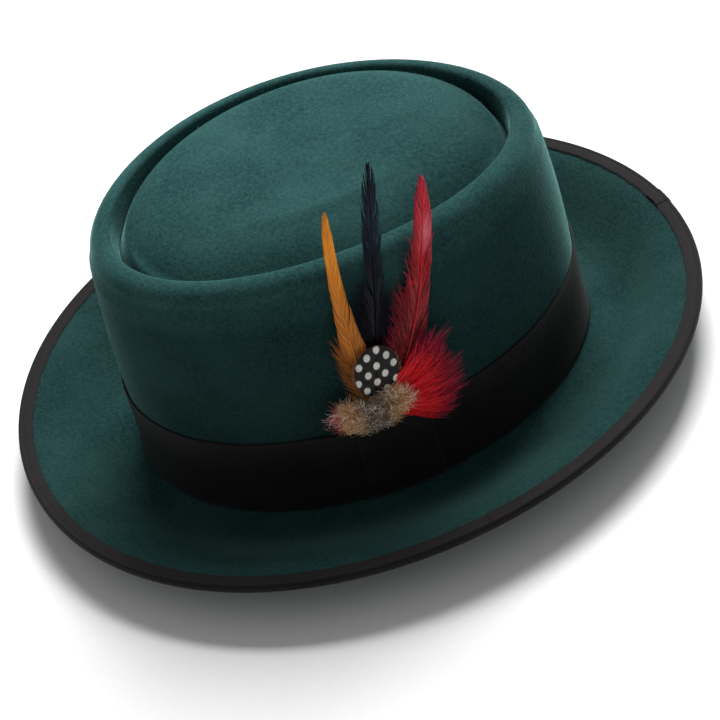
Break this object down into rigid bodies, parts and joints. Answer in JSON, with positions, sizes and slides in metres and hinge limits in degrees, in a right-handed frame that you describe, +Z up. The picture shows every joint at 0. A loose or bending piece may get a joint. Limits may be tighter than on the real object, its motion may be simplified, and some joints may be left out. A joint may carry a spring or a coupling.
{
  "type": "porkpie hat",
  "caption": "Felt porkpie hat with a telescope-creased oval crown, upcurled bound brim, wide ribbon band and a spray of feathers at the wearer's left.",
  "frame": {"origin": "under the middle of the brim, on the surface that the hat rests on", "axes": "+Z up, -Y towards the hat's front, +X towards the wearer's left, where the feathers are"},
  "size_m": [0.2928, 0.3108, 0.1514],
  "materials": {
    "felt": "dark teal wool felt with a short nap",
    "binding_ribbon": "brownish black ribbon, matt",
    "band_ribbon": "near black ribbon, fine cross ribs",
    "backing": "plain black stiffened cloth",
    "black_plume": "blue-black feather barbs",
    "red_plume": "dyed red feather barbs",
    "amber_plume": "dyed amber feather barbs",
    "hackle": "bright red hackle barbs",
    "spotted_plume": "black feather with round white spots",
    "down": "soft grey-brown and tan down"
  },
  "bodies": {
    "root": {"felt_body": "felt", "brim_binding": "binding_ribbon", "hat_band": "band_ribbon", "band_tab": "band_ribbon", "feather_tongue": "backing", "black_feather": "black_plume", "red_feather": "red_plume", "amber_feather": "amber_plume", "red_hackle": "hackle", "spotted_feather": "spotted_plume", "down_tuft": "down"}
  },
  "joints": []
}
